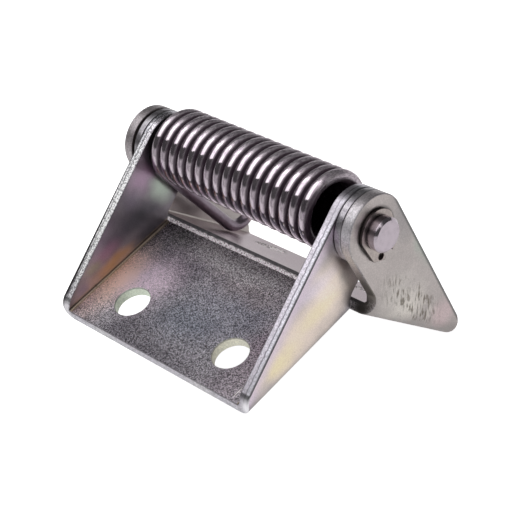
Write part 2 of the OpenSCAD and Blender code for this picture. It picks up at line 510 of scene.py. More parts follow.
@dataclass(frozen=True)
class CutFace:
    """The sheared edge of the sheet: painted shade on its rounded rims, a bright torn face, and a dark line
    where the tear starts.

    Attributes:
        smooth: Colour of the sheared half, on the outside of the fold.
        torn: Colour of the torn half.
        line: Strength of the dark line between them, on the ears.
        outer_rim_shade: Strength of the painted shade on the rim on the outside of the ears.
        inner_rim_shade: Strength of the painted shade on the rim on the inside.
        plate_rim_shade: Strength of the ragged painted shade on the rim on top of the plate's edges.
        grain: Strength of the grain on the plate's edges.
        ear_grain: Strength of the grain on the ears' edges.
        left_grain: What the left ear's grain has more.
        walls: Tints under the grain, such as those in the bolt holes.
        marks: Small marks over everything else, with painted highlights and painted shade among them.
        plate_tone: Brightness of the plate's edges against that of the ears.
        plate_milk: Share of milky film on the plate's edges.
        ear_milk: Share of milky film on the ears' edges.
    """

    name: str
    smooth: Colour
    torn: Colour
    line: float = 0.7
    line_tone: Colour = (0.1, 0.085, 0.11)
    # Colour of the painted shade on the rounded rims.
    rim: Colour = (0.06, 0.055, 0.06)
    outer_rim_shade: float = 1.0
    inner_rim_shade: float = 0.6
    plate_rim_shade: float = 0.0
    grain: float = 0.5
    ear_grain: float = 0.36
    left_grain: float = 0.0
    roughness: float = 0.34
    walls: tuple[Patch, ...] = ()
    marks: tuple[Patch, ...] = ()
    plate_tone: float = 1.0
    plate_milk: float = 0.0
    ear_milk: float = 0.0

    def make(self) -> bpy.types.Material:
        """Builds the finish.

        Returns:
            The material.
        """
        shader = Shader(self.name)
        where = shader.place()
        depth = shader.attribute("depth")
        on_ear = shader.attribute("fold").step(1.0, 4.0)
        left = where.part("X").step(0.0, -1.0)
        across = depth + shader.noise(where, 0.5, 3.0, 0.65) * 0.3 - 0.15
        sand = shader.noise(where, 1.7, 3.0, 0.75)
        stops = ((0.0, self.smooth), (0.44, self.smooth), (0.58, self.torn), (1.0, self.torn))
        colour = shader.ramp(across, *stops)
        colour = colour * (on_ear * (1.0 - self.plate_tone) + self.plate_tone)
        film = on_ear * (self.ear_milk - self.plate_milk) + self.plate_milk
        milk = film
        for wall in self.walls:
            colour, milk = wall.over(where, colour, milk)
        grain = on_ear * (self.ear_grain - self.grain + left * self.left_grain) + self.grain
        colour = colour * ((sand.step(0.36, 0.64) - 0.5) * grain * (1.0 - (milk - film)) * 1.6 + 1.0)
        colour = colour.mix(self.line_tone, across.band(0.46, 0.035, 0.06) * on_ear * self.line)
        # Painted shade on the rounded rims, wider down the outside of the left ear, and ragged on top of the
        # plate's edges.
        wide = left * where.part("Z").step(44.0, 4.0) * 0.26
        outer = (depth - wide).step(0.18, 0.08) * on_ear * (left * 0.3 + 0.7)
        colour = colour.mix(self.rim, outer * self.outer_rim_shade)
        colour = colour.mix(self.rim, depth.step(0.86, 0.96) * self.inner_rim_shade)
        if self.plate_rim_shade:
            edge = (across + sand * 0.3).step(0.78, 0.92) * (1.0 - on_ear)
            colour = colour.mix(self.rim, edge * where.part("Z").step(-14.0, -10.0) * self.plate_rim_shade)
        for mark in self.marks:
            colour, _ = mark.over(where, colour, 0.0)
        return shader.metal(colour, sand * -0.1 + self.roughness, sand, 0.05 * self.grain, 1.0 - milk)


@dataclass(frozen=True)
class SpringWire:
    """Drawn spring wire: dark and glossy, with fine marks along it, painted shade between the turns and
    inside the coil, and a duller top lightened by a painted sheen.

    The mesh's attribute wire gives the distance along the wire, the place across it along the pin, and that
    across it away from the pin, all in millimetres.

    Attributes:
        sheen_specks: Colour of the pale specks on the coil's duller top: a speckled finish, lightened by a
            painted sheen where the soft box's broad reflection falls.
        groove_shade: Colour of the painted shade between the turns and inside the coil.
        leg_shade: Colour of the legs, painted darker as shade where they lie under the coil.
        end_tone: Colour of the legs' cut ends.
        legs: Where along the wire the left leg ends and the right leg starts.
        length: Length of the whole wire.
    """

    name: str
    base: Colour
    dark: Colour
    sheen_specks: Colour = (0.92, 0.84, 0.9)
    groove_shade: Colour = (0.03, 0.013, 0.026)
    leg_shade: Colour = (0.19, 0.145, 0.185)
    end_tone: Colour = (0.6, 0.47, 0.48)
    legs: tuple[float, float] = (77.0, 1303.0)
    length: float = 1368.8

    def make(self) -> bpy.types.Material:
        """Builds the finish.

        Returns:
            The material.
        """
        shader = Shader(self.name)
        wire = shader.attribute("wire", "Vector")
        where = shader.place()
        along, sideways, outward = wire.part("X"), wire.part("Y"), wire.part("Z")
        first, last = self.legs
        marks = shader.noise(wire * (0.25, 1.6, 1.6), 1.0, 4.0, 0.7)
        specks = shader.noise(wire * (0.8, 2.4, 2.4), 1.0, 3.0, 0.7)
        blend = marks.step(0.3, 0.6) * 0.6 + specks.step(0.3, 0.55) * 0.4
        colour = shader.ramp(blend, (0.0, self.dark), (1.0, self.base))
        leg = along.step(first - 15.0, first - 31.0) + along.step(last + 6.0, last + 22.0)
        end = along.step(1.4, 0.5) + along.step(self.length - 1.4, self.length - 0.5)
        open_left = along.step(first + 66.0, first + 56.0) * sideways.step(0.0, -0.6)
        open_right = along.step(last - 66.0, last - 56.0) * sideways.step(0.0, 0.6)
        # Painted shade between the turns and on the coil's inside, lighter on the open sides of the end
        # turns.
        groove = abs(sideways).step(0.8, 1.7) * (1.0 - open_left * 0.15 - open_right * 0.75)
        hidden = (groove + outward.step(0.2, -1.4)).at_most(1.0) * (1.0 - leg)
        dull = where.part("Y").step(45.5, 52.0) * (1.0 - leg)
        # Painted sheen on a speckled finish: the coil's duller top is lighter.
        colour = colour.mix(self.sheen_specks, dull * specks.step(0.45, 0.58) * 0.85)
        # Painted shade between the turns and inside the coil.
        colour = colour.mix(self.groove_shade, hidden * 0.95)
        # Painted shade: the legs are darker, lying under the coil.
        colour = colour.mix(self.leg_shade, leg * (marks.step(0.3, 0.6) * 0.4 + 0.5))
        colour = colour.mix(self.end_tone, end * (specks.step(0.4, 0.6) * 0.5 + 0.45))
        rough = specks * -0.06 + dull * 0.27 + leg * 0.2 + 0.13
        height = (marks * 0.5 + specks * 0.5) * (dull * 7.0 + leg * 2.0 + 0.6)
        return shader.metal(colour, rough, height, 0.02, 1.0 - (hidden * 0.7 + leg * 0.2))


@dataclass(frozen=True)
class TurnedSteel:
    """Plain turned steel, with fine rings round the pin's axis and a dark band of dirt and painted shade
    beside each retaining ring.

    Attributes:
        axis: The pin's middle.
        dirt_and_shade_reach: Distances from it along the pin, where the dark band of dirt and painted shade
            starts to thin out and where it ends.
    """

    name: str
    base: Colour
    axis: Point
    dirt_and_shade_reach: tuple[float, float]
    grime_and_shade: Colour = (0.06, 0.05, 0.06)
    roughness: float = 0.11

    def make(self) -> bpy.types.Material:
        """Builds the finish.

        Returns:
            The material.
        """
        shader = Shader(self.name)
        where = shader.place() - self.axis
        along = abs(where.part("X"))
        radius = (where * (0.0, 1.0, 1.0)).length()
        turned = {"W": radius + along * 0.7, "Scale": 6.0, "Detail": 3.0}
        rings = shader.add("TexNoise", {"noise_dimensions": "1D"}, turned)
        cloud = shader.noise(where, 0.35, 3.0, 0.6)
        dark = tuple(0.8 * channel for channel in self.base)
        colour = shader.ramp(cloud.step(0.25, 0.6) * 0.7 + rings * 0.3, (0.0, dark), (1.0, self.base))
        low, high = self.dirt_and_shade_reach
        # Painted shade with dirt: the pin darkens beside each retaining ring.
        colour = colour.mix(self.grime_and_shade, along.step(high, low) * 0.92)
        return shader.metal(colour, rings * 0.1 + self.roughness, rings * 0.7 + cloud * 0.3, 0.006)


@dataclass(frozen=True)
class StampedSteel:
    """Plain stamped steel of the washers and rings."""

    name: str
    base: Colour
    dark: Colour
    roughness: float = 0.23
    grain: float = 0.4

    def make(self) -> bpy.types.Material:
        """Builds the finish.

        Returns:
            The material.
        """
        shader = Shader(self.name)
        where = shader.place()
        cloud = shader.noise(where, 0.35, 4.0, 0.65)
        grit = shader.noise(where, 2.2, 3.0, 0.7)
        colour = shader.ramp(cloud.step(0.3, 0.65), (0.0, self.dark), (1.0, self.base))
        colour = colour * ((grit.step(0.36, 0.64) - 0.5) * self.grain + 1.0)
        return shader.metal(colour, cloud * 0.14 + self.roughness, grit, 0.03)


@dataclass
class Piece:
    """How a finished bmesh becomes an object of the scene.

    Attributes:
        replaces: The CAD node that it stands for.
        finishes: Its materials, by the material number of its faces.
    """

    name: str
    body: Body
    slot: Slot
    replaces: str
    finishes: Sequence[bpy.types.Material]

    def finish(self, bm: bmesh.types.BMesh, place: Matrix | None = None) -> bpy.types.Object:
        """Writes the mesh in metres at the origin and smooths its shading.

        Args:
            bm: The mesh in millimetres, closed; it is freed.
            place: Where the mesh goes in the part's frame.

        Returns:
            The object, without a body yet.
        """
        bmesh.ops.transform(bm, matrix=Matrix.Scale(MM, 4) @ (place or Matrix.Identity(4)), verts=bm.verts)
        bmesh.ops.recalc_face_normals(bm, faces=bm.faces)
        mesh = bpy.data.meshes.new(self.name)
        bm.to_mesh(mesh)
        bm.free()
        mesh.shade_smooth()
        for finish in self.finishes:
            mesh.materials.append(finish)
        piece = bpy.data.objects.new(self.name, mesh)
        bpy.context.scene.collection.objects.link(piece)
        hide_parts(self.replaces)
        LOG.info("%s: %d faces", self.name, len(mesh.polygons))
        return piece

    def ride(self, piece: bpy.types.Object) -> None:
        """Gives the piece's flat faces flat shading and puts it on its body."""
        flatten(piece)
        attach(piece, self.body.value)


def flatten(piece: bpy.types.Object) -> None:
    """Keeps large flat faces flat beside their rounded edges.

    Args:
        piece: The object.
    """
    modifier = piece.modifiers.new("flat_faces", "WEIGHTED_NORMAL")
    modifier.keep_sharp = True
    modifier.weight = 100


def break_edges(piece: bpy.types.Object, width: float) -> None:
    """Rounds the sharp edges of a piece.

    Args:
        piece: The object.
        width: Width of the rounding in millimetres.
    """
    modifier = piece.modifiers.new("broken_edges", "BEVEL")
    modifier.width = width * MM
    modifier.segments = 3
    modifier.limit_method = "ANGLE"
    modifier.angle_limit = SHARP


def spin(
    bm: bmesh.types.BMesh, geom: Sequence[Any], centre: Sequence[float], axis: Point, angle: float,
    steps: int, slide: float = 0.0, whole: bool = False,
) -> list[Any]:
    """Turns vertices and edges about an axis, with a copy at each step that is joined to the last.

    Args:
        bm: The mesh.
        geom: The vertices and edges.
        centre: A point of the axis.
        axis: The axis' direction.
        angle: The turn in radians.
        steps: Number of steps.
        slide: How far the turn moves them along the axis.
        whole: True for a full turn, which ends in its own start.

    Returns:
        The vertices and edges of the last step.
    """
    made = bmesh.ops.spin(
        bm, geom=geom, cent=centre, axis=axis, dvec=Vector(axis) * (slide / steps), angle=angle, steps=steps,
        use_merge=whole, use_normal_flip=False, use_duplicate=False,
    )
    return made["geom_last"]


def arc(
    bm: bmesh.types.BMesh, start: bmesh.types.BMVert, centre: Point, angle: float, steps: int,
) -> bmesh.types.BMVert:
    """Draws an arc of edges in the XY plane.

    Args:
        bm: The mesh.
        start: The vertex where the arc starts.
        centre: Its middle.
        angle: Its sweep in radians.
        steps: Number of edges.

    Returns:
        The arc's last vertex.
    """
    made = spin(bm, [start], centre, (0.0, 0.0, 1.0), angle, steps)
    return next(item for item in made if isinstance(item, bmesh.types.BMVert))


def bevel(
    bm: bmesh.types.BMesh, geom: Sequence[Any], width: float, segments: int, affect: str = "EDGES",
    clamp: bool = False,
) -> list[bmesh.types.BMFace]:
    """Rounds edges or corners.

    Args:
        bm: The mesh.
        geom: The edges, or the vertices of a flat outline.
        width: Width of the rounding.
        segments: Number of its facets.
        affect: "EDGES" or "VERTICES".
        clamp: True to keep roundings from crossing.

    Returns:
        The new faces.
    """
    made = bmesh.ops.bevel(
        bm, geom=geom, offset=width, offset_type="OFFSET", affect=affect, segments=segments, profile=0.5,
        material=-1, clamp_overlap=clamp,
    )
    return made["faces"]


def cut_sheet(
    bm: bmesh.types.BMesh, rounds: Sequence[tuple[Sequence[bmesh.types.BMVert], float, int]],
    holes: Sequence[tuple[Point, float, int]],
) -> None:
    """Fills a closed outline as a flat sheet with round corners and holes.

    Args:
        bm: The mesh, which has the outline's edges alone.
        rounds: Vertices, width and number of facets of the corners.
        holes: Middle, radius and number of facets of the holes.
    """
    bmesh.ops.contextual_create(bm, geom=bm.edges[:])
    for verts, width, segments in rounds:
        bevel(bm, verts, width, segments, "VERTICES")
    bmesh.ops.delete(bm, geom=bm.faces[:], context="FACES_ONLY")
    for middle, radius, segments in holes:
        place = Matrix.Translation(middle)
        bmesh.ops.create_circle(bm, cap_ends=False, segments=segments, radius=radius, matrix=place)
    bmesh.ops.triangle_fill(bm, edges=bm.edges[:], use_beauty=True, use_dissolve=False, normal=(0, 0, 1))


def thicken(bm: bmesh.types.BMesh, thickness: float) -> None:
    """Gives a flat sheet its thickness, up from 0.

    Args:
        bm: The sheet, whose faces get slot 0 and whose cut walls get slot 1.
        thickness: The sheet's thickness.
    """
    bmesh.ops.recalc_face_normals(bm, faces=bm.faces)
    bmesh.ops.solidify(bm, geom=bm.faces[:], thickness=thickness)
    low = min(vert.co.z for vert in bm.verts)
    bmesh.ops.translate(bm, vec=(0.0, 0.0, -low), verts=bm.verts)
    bmesh.ops.recalc_face_normals(bm, faces=bm.faces)
    for face in bm.faces:
        face.material_index = int(abs(face.normal.z) < 0.5)
    bmesh.ops.dissolve_limit(
        bm, angle_limit=math.radians(0.5), use_dissolve_boundaries=False, verts=bm.verts[:],
        edges=bm.edges[:], delimit={"MATERIAL"},
    )


def break_rim(bm: bmesh.types.BMesh, level: float, width: float, segments: int) -> None:
    """Rounds the edges between a face of the sheet and its cut walls.

    Args:
        bm: The sheet; the roundings get the walls' slot.
        level: Height of the face.
        width: Width of the rounding.
        segments: Number of its facets.
    """
    rim = []
    for edge in bm.edges:
        one, other = edge.link_faces
        flat = all(abs(vert.co.z - level) < TINY for vert in edge.verts)
        if flat and one.material_index != other.material_index:
            rim.append(edge)
    for face in bevel(bm, rim, width, segments, clamp=True):
        face.material_index = 1


def lathe(profile: Sequence[tuple[float, float]], steps: int = 96) -> bmesh.types.BMesh:
    """Spins a profile round the X axis.

    Args:
        profile: (distance along X, radius) pairs.
        steps: Number of facets round the axis.

    Returns:
        The spun mesh in millimetres.
    """
    bm = bmesh.new()
    verts = [bm.verts.new((x, 0.0, r)) for x, r in profile]
    edges = [bm.edges.new(pair) for pair in zip(verts, verts[1:])]
    spin(bm, verts + edges, (0.0, 0.0, 0.0), (1.0, 0.0, 0.0), math.tau, steps, whole=True)
    bmesh.ops.remove_doubles(bm, verts=bm.verts, dist=TINY)
    return bm


@dataclass
class Hinge:
    """The sizes that the pieces share.

    Attributes:
        pin: A point of the pin's axis, in the middle of the fixed bracket.
        tilt: How far the leaf hangs below level, in degrees.
        shift: How far the leaf, the pin and its rings sit along X from the fixed bracket's middle.
        sheet: The sheet's thickness.
        fold_r: Inside radius of the folds.
        washer_x: Distance of each washer's middle from the fixed bracket's middle.
    """

    pin: Point = (0.0, 50.0, 28.5)
    tilt: float = 51.6245
    shift: float = -0.6
    sheet: float = 4.0
    fold_r: float = 1.0
    washer_x: float = 48.95

    def on_pin(self, x: float) -> Matrix:
        """Places a piece that is centred on the origin on the pin's axis, at x."""
        return Matrix.Translation((x, self.pin[1], self.pin[2]))


@dataclass
class FoldedBracket:
    """One folded bracket in its own frame, with its underside at 0.

    X runs along the pin, Y from the pin along the plate, and Z up from the plate.

    Attributes:
        inner_w: Width between the ears.
        near: Distance of the plate's near edge from the pin, along the plate.
        length: Length of the plate.
        height: Height of the pin over the underside.
        boss_r: Radius of the ears' round end.
        foot_h: Height of the ears' two lower corners.
        toe_r: Radius of the far one.
        foot_r: Radius in the near one, where the ear's edge turns into the plate's.
        hole_edge: Distance of the bolt holes from the plate's far edge.
        fold_steps: Number of facets of a fold.
        arc_steps: Number of facets of an ear's round end.
        outer_round: Rounding of the cut edges outside the fold.
        inner_round: Rounding of those inside it.
    """

    hinge: Hinge
    inner_w: float
    near: float
    length: float
    height: float
    boss_r: float = 12.5
    foot_h: float = 6.3
    toe_r: float = 6.0
    foot_r: float = 4.5
    bore_d: float = 12.16
    hole_d: float = 13.0
    hole_pitch: float = 50.0
    hole_edge: float = 15.0
    fold_steps: int = 8
    arc_steps: int = 56
    outer_round: float = 0.5
    inner_round: float = 0.25

    @property
    def outer_r(self) -> float:
        """Outside radius of the fold."""
        return self.hinge.fold_r + self.hinge.sheet

    @property
    def flat(self) -> float:
        """Half width of the plate's flat part."""
        return self.inner_w / 2 - self.hinge.fold_r

    @property
    def strip(self) -> float:
        """Width of the fold in the flat blank, on the middle of the sheet."""
        return (self.hinge.fold_r + self.hinge.sheet / 2) * math.pi / 2

    def blank_x(self, height: float) -> float:
        """Distance from the blank's middle to a point of an ear at a height over the underside."""
        return self.flat + self.strip + height - self.outer_r

    def blank(self) -> bmesh.types.BMesh:
        """The flat blank with its bores and holes, X across and Y along.

        Returns:
            One flat sheet without thickness.
        """
        bm = bmesh.new()
        foot, far = self.foot_h - self.height, self.near + self.length
        upper = math.atan2(-foot, far) + math.asin(self.boss_r / math.hypot(far, foot))
        lower = math.atan2(-foot, self.near) - math.asin(self.boss_r / math.hypot(self.near, foot))
        corners, feet, holes = [], [], []
        for side in (1, -1):
            pin_x, foot_x = side * self.blank_x(self.height), side * self.blank_x(self.foot_h)
            start = (pin_x + side * self.boss_r * math.cos(upper), self.boss_r * math.sin(upper), 0.0)
            top = bm.verts.new(start)
            last = arc(bm, top, (pin_x, 0.0, 0.0), -side * (math.pi + upper - lower), self.arc_steps)
            corners.append(bm.verts.new((foot_x, far, 0.0)))
            feet.append(bm.verts.new((foot_x, self.near, 0.0)))
            bm.edges.new((top, corners[-1]))
            bm.edges.new((last, feet[-1]))
            bolt = (side * self.hole_pitch / 2, far - self.hole_edge, 0.0)
            holes += [((pin_x, 0.0, 0.0), self.bore_d / 2, 64), (bolt, self.hole_d / 2, 64)]
        bm.edges.new(corners)
        bm.edges.new(feet)
        toe = self.toe_r / math.tan(math.pi / 4 + upper / 2)
        notch = self.foot_r * math.tan((math.pi / 2 - lower) / 2)
        cut_sheet(bm, ((corners, toe, 10), (feet, notch, 10)), holes)
        return bm

    def build(self) -> bmesh.types.BMesh:
        """Makes the folded sheet, and notes each point's depth in the sheet and distance past the fold.

        Returns:
            The closed mesh in the bracket's own frame.
        """
        bm = self.blank()
        thicken(bm, self.hinge.sheet)
        break_rim(bm, 0.0, self.outer_round, 3)
        break_rim(bm, self.hinge.sheet, self.inner_round, 3)
        bends = [self.flat + self.strip * i / self.fold_steps for i in range(self.fold_steps + 1)]
        for x in [0.0] + bends + [-bend for bend in bends]:
            geom = bm.verts[:] + bm.edges[:] + bm.faces[:]
            bmesh.ops.bisect_plane(bm, geom=geom, dist=TINY, plane_co=(x, 0, 0), plane_no=(1, 0, 0))
        depth, fold = bm.verts.layers.float.new("depth"), bm.verts.layers.float.new("fold")
        for vert in bm.verts:
            side, across, inward = math.copysign(1.0, vert.co.x), abs(vert.co.x), vert.co.z
            vert[depth] = inward / self.hinge.sheet
            vert[fold] = across - self.flat - self.strip / 2
            angle = min(max((across - self.flat) / self.strip, 0.0), 1.0) * math.pi / 2
            rise = max(across - self.flat - self.strip, 0.0)
            vert.co.x = side * (min(across, self.flat) + (self.outer_r - inward) * math.sin(angle))
            vert.co.z = self.outer_r - (self.outer_r - inward) * math.cos(angle) + rise
        return bm


def ray(angle: float) -> Vector:
    """A unit step in the YZ plane at an angle from +Y toward +Z."""
    return Vector((0.0, math.cos(angle), math.sin(angle)))


class Sweep:
    """A wire that grows from a ring of vertices, and how far along it each of its rings lies."""

    def __init__(self, radius: float, sides: int, place: Matrix) -> None:
        """Starts with one open ring.

        Args:
            radius: The wire's radius.
            sides: Number of the ring's vertices.
            place: Where the ring is.
        """
        self.bm = bmesh.new()
        self.sides = sides
        self.lengths = [0.0]
        bmesh.ops.create_circle(self.bm, cap_ends=False, segments=sides, radius=radius, matrix=place)
        self.first = self.bm.edges[:]
        self.ring: list[Any] = self.bm.verts[:] + self.bm.edges[:]

    def rim(self) -> list[bmesh.types.BMEdge]:
        """The edges of the last ring."""
        return [item for item in self.ring if isinstance(item, bmesh.types.BMEdge)]

    def turn(self, centre: Vector, radius: float, angle: float, steps: int, slide: float = 0.0) -> None:
        """Turns the last ring on about the X axis.

        Args:
            centre: A point of the turn's axis.
            radius: Radius of the wire's middle.
            angle: The turn in radians.
            steps: Number of steps.
            slide: How far the turn moves the ring along X.
        """
        self.ring = spin(self.bm, self.ring, centre, (1.0, 0.0, 0.0), angle, steps, slide)
        passed = self.lengths[-1]
        self.lengths.extend(passed + abs(angle) * radius * (i + 1) / steps for i in range(steps))

    def run(self, step: Vector) -> None:
        """Carries the last ring straight on.

        Args:
            step: How far, and which way.
        """
        made = bmesh.ops.extrude_edge_only(self.bm, edges=self.rim())["geom"]
        verts = [item for item in made if isinstance(item, bmesh.types.BMVert)]
        bmesh.ops.translate(self.bm, vec=step, verts=verts)
        edges = [item for item in made if isinstance(item, bmesh.types.BMEdge)]
        self.ring = verts + [edge for edge in edges if all(vert in verts for vert in edge.verts)]
        self.lengths.append(self.lengths[-1] + step.length)

    def mark(self, axis: Vector) -> None:
        """Notes where each point lies: along the wire, across it along X, and across it away from an axis.

        Args:
            axis: A point of the axis, which runs along X.
        """
        self.bm.verts.ensure_lookup_table()
        layer = self.bm.verts.layers.float_vector.new("wire")
        for i, along in enumerate(self.lengths):
            verts = self.bm.verts[i * self.sides : (i + 1) * self.sides]
            centre = sum((vert.co for vert in verts), Vector()) / self.sides
            outward = (centre - axis) * Vector((0.0, 1.0, 1.0))
            outward.normalize()
            for vert in verts:
                arm = vert.co - centre
                vert[layer] = Vector((along, arm.x, arm.dot(outward)))

    def close(self, width: float) -> None:
        """Caps both ends and rounds the caps' edges.

        Args:
            width: Width of the rounding.
        """
        for edges in (self.first, self.rim()):
            cap = bmesh.ops.contextual_create(self.bm, geom=edges)["faces"]
            bevel(self.bm, list(cap[0].edges), width, 2)


@dataclass
class TorsionSpring:
    """The coil and its two legs as one wire, in the part's frame.

    Attributes:
        coil_r: Radius of the coil, on the wire's middle.
        lift: How far the coil hangs from the pin's axis, away from each plate.
        start_x: Where the coil starts.
        leaf_height: Height of the pin over the leaf's underside.
        leaf_reach: Where the left leg's tip turns up, along the leaf from the pin.
        plate_reach: Where the right leg's tip turns up, along the fixed plate from the pin.
        tip_r: Radius of the tips, on the wire's middle.
        tip_slope: Slope of the tips' ends against their plates, in degrees.
        tip_gap: Gap between a tip and its plate.
        end_round: Rounding of the wire's cut ends.
    """

    hinge: Hinge
    wire_r: float = 2.25
    coil_r: float = 11.65
    lift: float = 1.7
    pitch: float = 4.62
    turns: float = 16.7497
    start_x: float = -39.85
    leaf_height: float = 28.0
    leaf_reach: float = 39.7
    plate_reach: float = 28.0
    tip_r: float = 7.2
    tip_slope: float = 70.0
    tip_gap: float = 0.3
    end_round: float = 0.35
    sides: int = 16
    steps_per_turn: int = 40
    tip_steps: int = 14

    @property
    def end_x(self) -> float:
        """Where the coil ends."""
        return self.start_x + self.turns * self.pitch

    def tip(self, reach: float, height: float) -> Vector:
        """Centre of a leg's upturned tip in its plate's own frame, along and up from the pin."""
        return Vector((reach, self.hinge.sheet + self.tip_gap + self.wire_r + self.tip_r - height))

    def tangent(self, tip: Vector) -> float:
        """Direction from the coil's centre to where a leg leaves it, in its plate's own frame."""
        run = tip - Vector((0.0, self.lift))
        return math.atan2(run.y, run.x) - math.acos((self.coil_r - self.tip_r) / run.length)

    def on_leaf(self, x: float, along: float, up: float) -> Vector:
        """From the leaf's own frame, along it and up from the pin, to the part's frame."""
        c, s = math.cos(math.radians(self.hinge.tilt)), math.sin(math.radians(self.hinge.tilt))
        return Vector((x, self.hinge.pin[1] + along * c + up * s, self.hinge.pin[2] + up * c - along * s))

    def on_plate(self, x: float, along: float, up: float) -> Vector:
        """From the fixed plate's own frame, along it and up from the pin, to the part's frame."""
        return Vector((x, self.hinge.pin[1] - along, self.hinge.pin[2] + up))

    def settle(self, bm: bmesh.types.BMesh) -> None:
        """Leans the coil, so that each end hangs away from its own leg's plate.

        Args:
            bm: The left leg and the coil.
        """
        drift = self.on_plate(0.0, 0.0, self.lift) - self.on_leaf(0.0, 0.0, self.lift)
        low, high = self.start_x + self.wire_r, self.end_x - self.wire_r
        for vert in bm.verts:
            vert.co += drift * min(max((vert.co.x - low) / (high - low), 0.0), 1.0)

    def build(self) -> bmesh.types.BMesh:
        """Sweeps the wire from the left leg's cut tip to the right leg's.

        Returns:
            The closed mesh in the part's frame.
        """
        tilt = math.radians(self.hinge.tilt)
        left = self.tip(self.leaf_reach, self.leaf_height)
        right = self.tip(self.plate_reach, self.hinge.pin[2])
        leave, arrive = self.tangent(left), self.tangent(right)
        first = math.radians(self.tip_slope) - math.pi / 2

        tip_at = self.on_leaf(self.start_x, *left)
        facing = ray(first - tilt - math.pi / 2).to_track_quat("Z", "Y").to_matrix().to_4x4()
        start = Matrix.Translation(tip_at + self.tip_r * ray(first - tilt)) @ facing
        wire = Sweep(self.wire_r, self.sides, start)
        wire.turn(tip_at, self.tip_r, leave - first, self.tip_steps)

        coil_at = self.on_leaf(self.start_x, 0.0, self.lift)
        wire.run(coil_at - tip_at + (self.coil_r - self.tip_r) * ray(leave - tilt))
        steps = round(self.turns * self.steps_per_turn)
        wire.turn(coil_at, self.coil_r, -math.tau * self.turns, steps, self.turns * self.pitch)
        self.settle(wire.bm)

        tip_at = self.on_plate(self.end_x, *right)
        coil_at = self.on_plate(self.end_x, 0.0, self.lift)
        wire.run(tip_at - coil_at + (self.tip_r - self.coil_r) * ray(math.pi - arrive))
        wire.turn(tip_at, self.tip_r, -(first - arrive) % -math.tau, self.tip_steps)
        wire.mark(Vector(self.hinge.pin))
        wire.close(self.end_round)
        return wire.bm

    def make(self) -> None:
        """Winds the spring and blends it across the joint, its left leg on the leaf."""
        finish = SpringWire("drawn_wire", (0.65, 0.57, 0.62), (0.3, 0.23, 0.31)).make()
        piece = Piece("spring_wire_wound", Body.FIXED, Slot.WIRE, "torsion_spring", (finish,))
        item = piece.finish(self.build())
        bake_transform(item)


@dataclass
class HingePin:
    """The pin with its ring grooves, chamfers and turning centres.

    Attributes:
        groove: Where each groove starts and ends along the pin, and its depth.
        centre_d: Diameter of the turning centre in each end.
        centre_deep: Its depth.
        burr: Rounding of every sharp edge.
    """

    hinge: Hinge
    length: float = 120.4
    diameter: float = 12.0
    groove: tuple[float, float, float] = (55.05, 56.15, 0.25)
    chamfer: float = 0.85
    centre_d: float = 2.4
    centre_deep: float = 0.2
    burr: float = 0.08

    @property
    def ring_x(self) -> float:
        """Distance of each retaining ring's middle from the pin's middle."""
        return (self.groove[0] + self.groove[1]) / 2

    def build(self) -> bmesh.types.BMesh:
        """Spins the pin's outline.

        Returns:
            The closed mesh, centred on the origin.
        """
        r, end = self.diameter / 2, self.length / 2
        low, high, deep = self.groove
        groove = [(low, r), (low, r - deep), (high, r - deep), (high, r)]
        tip = [(end - self.chamfer, r), (end, r - self.chamfer)]
        centre = [(end, self.centre_d / 2), (end - self.centre_deep, 0.0)]
        half = groove + tip + centre
        return lathe([(-x, y) for x, y in reversed(half)] + half)

    def make(self) -> None:
        """Turns the pin and puts it through the ears."""
        middle = (self.hinge.shift, self.hinge.pin[1], self.hinge.pin[2])
        steel = TurnedSteel("turned_steel", (0.56, 0.49, 0.545), middle, (56.6, 57.3)).make()
        piece = Piece("pin_turned", Body.FIXED, Slot.PIN, "hinge_pin", (steel,))
        item = piece.finish(self.build(), self.hinge.on_pin(self.hinge.shift))
        break_edges(item, self.burr)
        piece.ride(item)


@dataclass
class Washer:
    """The plain washers, one between the two ears on each side; burr is the rounding of their edges."""

    hinge: Hinge
    diameter: float = 25.0
    bore: float = 12.16
    thickness: float = 2.5
    burr: float = 0.3

    def build(self) -> bmesh.types.BMesh:
        """Spins the washer's section, centred on the origin."""
        half, inner, outer = self.thickness / 2, self.bore / 2, self.diameter / 2
        return lathe([(-half, inner), (half, inner), (half, outer), (-half, outer), (-half, inner)])

    def make(self) -> None:
        """Turns both washers and puts them on the pin."""
        steel = StampedSteel("zinc_washer", (0.48, 0.46, 0.49), (0.28, 0.26, 0.29)).make()
        for name, side in (("left_washer", -1), ("right_washer", 1)):
            piece = Piece(name + "_turned", Body.FIXED, Slot.WASHER, name, (steel,))
            item = piece.finish(self.build(), self.hinge.on_pin(side * self.hinge.washer_x))
            break_edges(item, self.burr)
            piece.ride(item)


